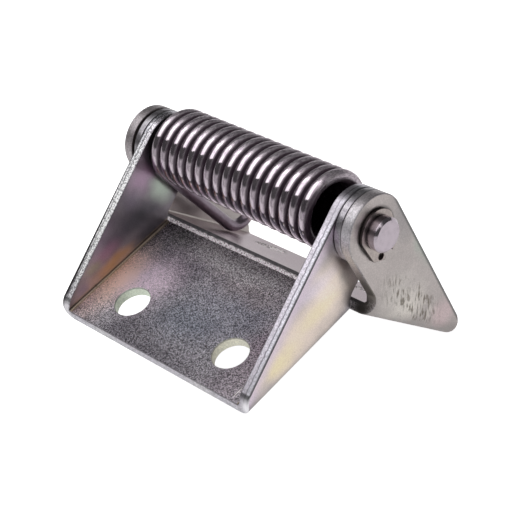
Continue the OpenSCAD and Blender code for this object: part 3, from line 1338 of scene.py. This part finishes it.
@dataclass
class RetainingRing:
    """The external rings of the pin, with two lugs and their plier holes, each cut in its own XY plane.

    A ring's gap is toward +X there, and its points are given by radius and degrees from the gap's middle.

    Attributes:
        pin: The pin whose grooves hold the rings.
        body_to: Where the round body ends and a lug starts, in degrees.
        heel: The lug's first corner.
        toe: The lug's second corner.
        gap: Where the inside ends, in degrees.
        hole_at: Middle of the plier hole.
        lug_round: Rounding of the lug's corners.
        burr: Rounding of the stamped edges.
        turn: How far the rings are turned on the pin, in degrees.
    """

    hinge: Hinge
    pin: HingePin
    inner_r: float = 5.85
    outer_r: float = 7.9
    thickness: float = 1.0
    body_to: float = 103.0
    heel: tuple[float, float] = (10.5, 40.0)
    toe: tuple[float, float] = (11.7, 9.5)
    gap: float = 14.4
    hole_at: tuple[float, float] = (9.2, 20.5)
    hole_d: float = 2.5
    lug_round: float = 0.7
    burr: float = 0.12
    turn: float = -83.0

    def polar(self, radius: float, degrees: float) -> Point:
        """A point of the ring's plane."""
        return radius * math.cos(math.radians(degrees)), radius * math.sin(math.radians(degrees)), 0.0

    def build(self) -> bmesh.types.BMesh:
        """Cuts the ring from sheet; slot 0 is its face and slot 1 its stamped wall.

        Returns:
            The closed mesh, its middle plane at 0.
        """
        bm = bmesh.new()
        origin = (0.0, 0.0, 0.0)
        outer = bm.verts.new(self.polar(self.outer_r, self.body_to))
        inner = bm.verts.new(self.polar(self.inner_r, self.gap))
        last_outer = arc(bm, outer, origin, math.radians(2 * (180.0 - self.body_to)), 30)
        last_inner = arc(bm, inner, origin, math.radians(2 * (180.0 - self.gap)), 48)
        lugs, holes = [], []
        for side, start, stop in ((1, outer, inner), (-1, last_outer, last_inner)):
            lug = [bm.verts.new(self.polar(radius, side * angle)) for radius, angle in (self.heel, self.toe)]
            chain = [start, *lug, stop]
            for pair in zip(chain, chain[1:]):
                bm.edges.new(pair)
            lugs += lug
            holes.append((self.polar(self.hole_at[0], side * self.hole_at[1]), self.hole_d / 2, 28))
        cut_sheet(bm, ((lugs, self.lug_round, 5),), holes)
        thicken(bm, self.thickness)
        for level in (0.0, self.thickness):
            break_rim(bm, level, self.burr, 2)
        bmesh.ops.translate(bm, vec=(0.0, 0.0, -self.thickness / 2), verts=bm.verts)
        return bm

    def make(self) -> None:
        """Stamps both rings and puts them in the pin's grooves."""
        face = StampedSteel("ring_face", (0.5, 0.44, 0.41), (0.36, 0.31, 0.3), grain=0.2).make()
        # Painted shade: the ring's stamped wall is near black, as it lies in shade against the ear.
        wall = StampedSteel("ring_wall_shade", (0.1, 0.08, 0.08), (0.05, 0.04, 0.04), 0.33).make()
        upright = Matrix(((0, 0, 1, 0), (1, 0, 0, 0), (0, 1, 0, 0), (0, 0, 0, 1)))
        turned = Matrix.Rotation(math.radians(self.turn), 4, "X") @ upright
        for name, side in (("left_ring", -1), ("right_ring", 1)):
            place = self.hinge.on_pin(self.hinge.shift + side * self.pin.ring_x) @ turned
            piece = Piece(name + "_stamped", Body.FIXED, Slot.RING, name, (face, wall))
            piece.ride(piece.finish(self.build(), place))


@dataclass(frozen=True)
class View:
    """The camera of the photograph: it stands square to its own axis, without shift."""

    place: Point = (340.886, -170.670, 347.099)
    aim: Point = (6.494, 35.331, 6.846)
    up: Point = (-0.320078, 0.637691, 0.700643)
    lens: float = 104.922

    def make(self) -> None:
        """Adds the camera to the scene."""
        camera = bpy.data.cameras.new("camera")
        camera.lens = self.lens
        camera.sensor_width = 36.0
        camera.clip_start, camera.clip_end = 0.01, 20.0
        item = bpy.data.objects.new("camera", camera)
        back = (Vector(self.place) - Vector(self.aim)).normalized()
        right = Vector(self.up).cross(back).normalized()
        turn = Matrix((right, back.cross(right), back)).transposed().to_4x4()
        item.matrix_world = Matrix.Translation(Vector(self.place) * MM) @ turn
        bpy.context.scene.collection.objects.link(item)
        bpy.context.scene.camera = item


@dataclass
class Studio:
    """A white table, a long soft box overhead with a bright core, and a dim room.

    Attributes:
        table_up: Direction that the table faces, as the reflections see it.
        table: Its brightness.
        table_lean: How its brightness changes with the direction of view.
        room: Brightness of the room.
        glow: Brightness of the wall behind the table.
        box_height: Height of the soft box, in metres as its other sizes.
        box_y: Its edges along Y.
        core_x: Its bright core's edges along X.
        flank_x: Its dimmer flanks' edges along X.
        floor_z: Height of the floor in millimetres.
        floor_half: Half the floor's width in metres.
    """

    table_up: Point = (0.0, 0.4287, 0.9034)
    table: float = 0.69
    table_lean: Point = (0.18, 0.07, 0.0)
    room: float = 0.08
    glow: float = 0.55
    box_height: float = 1.2
    box_y: tuple[float, float] = (-0.84, 0.34)
    core_x: tuple[float, float] = (-1.1, 0.4)
    core_radiance: float = 1.9
    flank_x: tuple[float, float] = (-1.95, 1.4)
    flank_radiance: float = 0.75
    floor_z: float = -39.7
    floor_half: float = 3.0

    def world(self) -> None:
        """White to the camera; a pale table below a dim room to everything else."""
        world = bpy.data.worlds.new("studio")
        world.use_nodes = True
        bpy.context.scene.world = world
        nodes = Nodes(world.node_tree)
        toward = nodes.add("TexCoord", None, None, "Generated")
        up = toward.part("Z")
        lean = toward.part("Y") / up.at_least(0.05)
        behind = lean.step(0.75, 0.2) * lean.step(-0.1, 0.2) * up.step(0.2, 0.45) * self.glow
        table = toward.dot(self.table_lean) + self.table
        under = toward.dot(self.table_up).step(-0.03, -0.17)
        tone = under * table + (1.0 - under) * (behind + self.room)
        seen = nodes.add("LightPath", None, None, "Is Camera Ray")
        light = {"Color": (1.0, 1.0, 1.0), "Strength": tone.at_least(seen)}
        background = nodes.add("Background", None, light)
        nodes.add("OutputWorld", None, {"Surface": background})

    def box(self, name: str, low_x: float, high_x: float, radiance: float) -> None:
        """One lamp of the soft box, looking straight down.

        Args:
            name: The lamp's name.
            low_x: Its left edge in metres.
            high_x: Its right edge.
            radiance: How bright it looks.
        """
        low_y, high_y = self.box_y
        lamp = bpy.data.lights.new(name, "AREA")
        lamp.shape = "RECTANGLE"
        lamp.size, lamp.size_y = high_x - low_x, high_y - low_y
        lamp.energy = radiance * math.pi * lamp.size * lamp.size_y
        item = bpy.data.objects.new(name, lamp)
        item.location = ((low_x + high_x) / 2, (low_y + high_y) / 2, self.box_height)
        bpy.context.scene.collection.objects.link(item)

    def floor(self) -> None:
        """A pale floor that keeps the object's shadow."""
        bm = bmesh.new()
        place = Matrix.Translation((0.0, 0.0, self.floor_z * MM))
        bmesh.ops.create_grid(bm, x_segments=1, y_segments=1, size=self.floor_half, matrix=place)
        mesh = bpy.data.meshes.new("floor")
        bm.to_mesh(mesh)
        bm.free()
        item = bpy.data.objects.new("floor", mesh)
        bpy.context.scene.collection.objects.link(item)
        shader = Shader("floor_paint")
        seen = shader.add("LightPath", None, None, "Is Camera Ray")
        glossy = shader.add("LightPath", None, None, "Is Glossy Ray")
        glow = (1.0, 1.0, 1.0) * (seen * 0.9 + glossy * 0.3)
        grey = (0.8, 0.8, 0.8)
        paint = {"Base Color": grey, "Roughness": 0.9, "Emission Color": glow, "Emission Strength": 1.0}
        shader.add("OutputMaterial", None, {"Surface": shader.add("BsdfPrincipled", None, paint)})
        mesh.materials.append(shader.material)
        item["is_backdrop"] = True

    def make(self) -> None:
        """Builds the studio."""
        self.world()
        self.box("soft_box_core", *self.core_x, self.core_radiance)
        self.box("soft_box_flanks", *self.flank_x, self.flank_radiance)
        self.floor()
        bpy.context.scene.view_settings.view_transform = "Standard"


FIXED_TINTS_LIGHT_AND_SHADE = (
    Patch((10.0, 10.0, 4.0), (34.0, 26.0, 6.0), (0.26, 0.27, 0.33), 0.55),
    Patch((34.0, 0.0, 4.0), (14.0, 34.0, 6.0), (0.32, 0.25, 0.29), 0.6),
    Patch((0.0, -14.5, 4.0), (54.0, 13.0, 6.0), (0.15, 0.14, 0.16), 0.85),
    Patch((22.0, -4.0, 4.0), (26.0, 10.0, 6.0), (0.2, 0.19, 0.21), 0.4),
    Patch((38.0, 14.0, 4.0), (11.0, 24.0, 6.0), (0.27, 0.2, 0.26), 0.45),
    Patch((10.0, 24.0, 4.0), (24.0, 9.0, 6.0), (0.34, 0.28, 0.27), 0.4),
    Patch((-2.0, 2.0, 4.0), (20.0, 13.0, 6.0), (0.26, 0.285, 0.34), 0.45),
    Patch((-27.0, 9.5, 4.0), (18.0, 19.0, 5.0), (0.72, 0.57, 0.68), 0.85, 0.45),
    Patch((-39.0, 5.0, 5.0), (12.0, 27.0, 6.0), (0.9, 0.62, 0.54), 0.9, 0.45),
    # Painted light: lightens the plate's rear under the coil, where the coil's shadow falls.
    Patch((0.0, 32.5, 4.0), (52.0, 11.0, 6.0), (0.7, 0.66, 0.68), 0.85),
    Patch((-43.5, 33.0, 27.0), (5.0, 9.0, 8.0), (0.7, 0.5, 0.68), 0.75),
    Patch((-43.5, 40.0, 18.0), (5.0, 8.0, 10.0), (0.68, 0.82, 0.69), 0.85),
    Patch((-43.5, 26.0, 22.0), (5.0, 8.0, 6.0), (0.5, 0.43, 0.54), 0.5),
    Patch((-43.5, 24.0, 14.5), (5.0, 21.0, 7.0), (0.13, 0.13, 0.15), 0.65),
    Patch((-43.5, 25.0, 6.5), (5.0, 13.0, 5.0), (0.1, 0.1, 0.11), 0.7),
    Patch((-43.5, 8.0, 12.5), (5.0, 9.0, 4.5), (0.5, 0.3, 0.42), 0.6),
    Patch((-43.5, 9.0, 7.0), (5.0, 14.0, 3.6), (0.56, 0.34, 0.15), 0.8, 0.1),
    Patch((-43.5, 0.0, 11.5), (5.0, 5.0, 3.5), (0.4, 0.43, 0.27), 0.55),
    Patch((-43.5, -7.0, 7.0), (5.0, 4.0, 4.0), (0.36, 0.31, 0.46), 0.6),
    Patch((47.5, 10.0, 11.0), (6.0, 34.0, 17.0), (1.0, 0.85, 0.74), 0.95, 0.15),
    Patch((47.5, 29.0, 17.0), (6.0, 16.0, 17.0), (1.0, 0.86, 0.76), 1.0, 0.0),
    Patch((47.5, 2.0, 9.0), (6.0, 15.0, 6.0), (1.0, 0.87, 0.56), 0.75),
    Patch((47.5, 22.0, 13.0), (6.0, 14.0, 5.0), (1.0, 0.87, 0.6), 0.7),
    Patch((47.5, 24.0, 22.0), (6.0, 14.0, 5.0), (0.82, 0.73, 0.88), 0.6),
    Patch((47.5, 42.0, 14.0), (6.0, 10.0, 12.0), (0.56, 0.53, 0.5), 0.6),
    # Painted shadow: darkens the right ear's face beside the washer, where the washers' shadow falls.
    Patch((47.5, 42.0, 30.0), (6.0, 9.0, 6.0), (0.3, 0.27, 0.28), 0.7),
)
FIXED_MARKS = (
    Patch((39.25, -11.0, 4.0), (0.3, 3.6, 1.0), (1.0, 0.97, 0.95), 0.9),
    Patch((-42.4, -6.1, 4.0), (0.7, 0.5, 1.5), (0.04, 0.03, 0.03), 0.9),
    Patch((-37.4, -4.5, 4.0), (0.6, 0.6, 1.5), (0.04, 0.03, 0.03), 0.9),
    Patch((-43.1, -1.5, 4.5), (0.6, 0.6, 1.5), (0.04, 0.03, 0.03), 0.9),
)
SWING_PATCHES = (
    Patch((54.4, 66.0, -26.0), (5.0, 10.0, 9.0), (0.7, 0.54, 0.56), 0.7),
    Patch((54.4, 66.0, 8.0), (5.0, 5.0, 14.0), (0.4, 0.47, 0.41), 0.5),
    Patch((54.4, 50.0, -5.0), (5.0, 16.0, 17.0), (0.6, 0.565, 0.535), 0.8),
    Patch((54.4, 51.0, -10.0), (5.0, 16.0, 9.0), (0.8, 0.75, 0.7), 0.7),
    Patch((54.4, 62.0, 24.0), (5.0, 9.0, 14.0), (0.35, 0.325, 0.33), 0.85),
)
CUT_MARKS_AND_HIGHLIGHTS = (
    Patch((45.5, -11.0, 8.0), (6.0, 15.0, 15.0), (0.3, 0.285, 0.31), 0.3),
    # The next two are painted highlights: bright glints on the right and the left toe corner.
    Patch((47.0, -14.5, 4.5), (3.5, 4.0, 6.5), (0.95, 0.93, 0.97), 0.85),
    Patch((-45.0, -13.0, 5.5), (3.0, 4.0, 5.0), (0.9, 0.88, 0.92), 0.7),
    Patch((45.5, 46.0, 38.0), (6.0, 12.0, 12.0), (0.3, 0.28, 0.31), 0.6),
)
FIXED_WALLS = (
    Patch((-45.5, 14.0, 22.0), (5.0, 50.0, 46.0), (1.0, 1.0, 1.0), 0.95),
    Patch((-25.0, 0.0, 2.0), (18.0, 18.0, 9.0), (0.9, 1.0, 0.8), 0.95, 0.75),
    Patch((25.0, 0.0, 2.0), (18.0, 18.0, 9.0), (1.0, 0.98, 0.78), 0.95, 0.75),
)
LEAF_WALLS = (
    Patch((24.4, 60.3, -26.4), (13.0, 13.0, 13.0), (0.9, 0.86, 0.84), 0.9, 0.4),
    Patch((-25.6, 60.3, -26.4), (13.0, 13.0, 13.0), (0.9, 0.86, 0.84), 0.9, 0.4),
    Patch((52.4, 42.0, 35.5), (6.0, 14.0, 13.0), (0.6, 0.575, 0.61), 0.85, 0.2),
    Patch((52.4, 37.6, 26.5), (5.0, 6.0, 8.0), (0.66, 0.62, 0.59), 0.8, 0.2),
)
LEAF_SCUFFS = Patch((54.4, 55.0, -9.0), (24.0, 8.5, 1.0), (0.19, 0.165, 0.135), 0.85)
LEAF_MARKS_AND_SHADE = (
    Patch((52.4, 41.1, 34.6), (1.0, 1.0, 1.2), (0.03, 0.02, 0.02), 0.95),
    Patch((52.4, 41.0, 9.0), (6.0, 7.0, 15.0), (0.16, 0.14, 0.115), 0.95),
    Patch((54.6, 67.0, 0.0), (2.2, 9.0, 40.0), (0.13, 0.135, 0.13), 0.75),
    # Painted shade: near black on the leaf's near cut edge beside the right ears, where no light reaches.
    Patch((49.5, 38.0, 1.2), (9.5, 7.0, 7.5), (0.03, 0.026, 0.022), 1.0),
)


@dataclass
class FixedBracket(FoldedBracket):
    """The plate with the two inner ears."""

    inner_w: float = 87.0
    near: float = 14.0
    length: float = 51.0
    height: float = 28.5

    def place(self) -> Matrix:
        """From the bracket's own frame, its plate toward +Y, to the part's frame, where it is toward -Y."""
        mirror = Matrix.Scale(-1.0, 4, Vector((0.0, 1.0, 0.0)))
        return Matrix.Translation((0.0, self.hinge.pin[1], 0.0)) @ mirror

    def make(self) -> None:
        """Folds the bracket, with the tints and marks that the photograph shows, and the painted light,
        highlights and shade among them.
        """
        face = PlatedFace(
            "zinc_plate", (0.42, 0.39, 0.42), (0.24, 0.22, 0.25), FIXED_TINTS_LIGHT_AND_SHADE, (-0.872, 0.489, 12.83),
            FIXED_MARKS,
        ).make()
        cut = CutFace(
            "sheared_zinc", (0.54, 0.525, 0.58), (0.55, 0.515, 0.575), left_grain=0.6, walls=FIXED_WALLS,
            marks=CUT_MARKS_AND_HIGHLIGHTS, plate_tone=0.8,
        ).make()
        piece = Piece("fixed_bracket_sheet", Body.FIXED, Slot.SHEET, "fixed_bracket", (face, cut))
        piece.ride(piece.finish(self.build(), self.place()))


@dataclass
class SwingBracket(FoldedBracket):
    """The leaf with the two outer ears."""

    inner_w: float = 102.0
    near: float = 13.6975
    length: float = 50.8
    height: float = 28.0

    def place(self) -> Matrix:
        """From the bracket's own frame to the part's frame, in the pose of the photograph."""
        turn = Matrix.Rotation(math.radians(-self.hinge.tilt), 4, "X")
        return self.hinge.on_pin(self.hinge.shift) @ turn @ Matrix.Translation((0.0, 0.0, -self.height))

    def make(self) -> None:
        """Folds the bracket, with the tints, rubs and marks that the photograph shows, and painted shade on
        its rims, round the ring and on the leaf's near edge.
        """
        face = PlatedFace(
            "zinc_leaf", (0.535, 0.485, 0.473), (0.44, 0.4, 0.39), SWING_PATCHES, (-0.1597, -0.9872, 66.41),
            inner_tint=(0.36, 0.262, 0.305), inner_amount=0.9, border_tint=(0.12, 0.125, 0.12),
            border_width=1.5, border_amount=0.85, plate_grain=0.2, scuffs=LEAF_SCUFFS,
            halo=(self.hinge.pin, 7.4, 9.2), crease=0.06,
        ).make()
        cut = CutFace(
            "sheared_leaf", (0.4, 0.365, 0.38), (0.42, 0.385, 0.4), line=0.0, outer_rim_shade=0.25, inner_rim_shade=0.3,
            plate_rim_shade=0.95, grain=0.95, roughness=0.42, walls=LEAF_WALLS, marks=LEAF_MARKS_AND_SHADE, plate_tone=2.5,
            plate_milk=0.9, ear_milk=0.2,
        ).make()
        piece = Piece("swing_bracket_sheet", Body.SWING, Slot.LEAF, "swing_bracket", (face, cut))
        piece.ride(piece.finish(self.build(), self.place()))


def corners() -> list[list[float]]:
    """The shown object's box, as plain lists."""
    return [list(corner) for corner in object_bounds()]


def main() -> None:
    """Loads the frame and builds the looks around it."""
    logging.basicConfig(level=logging.INFO, format="%(name)s: %(message)s")
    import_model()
    View().make()
    hinge = Hinge()
    pin = HingePin(hinge)
    FixedBracket(hinge).make()
    SwingBracket(hinge).make()
    pin.make()
    Washer(hinge).make()
    RetainingRing(hinge, pin).make()
    TorsionSpring(hinge).make()
    Studio().make()


if __name__ == "__main__":
    main()
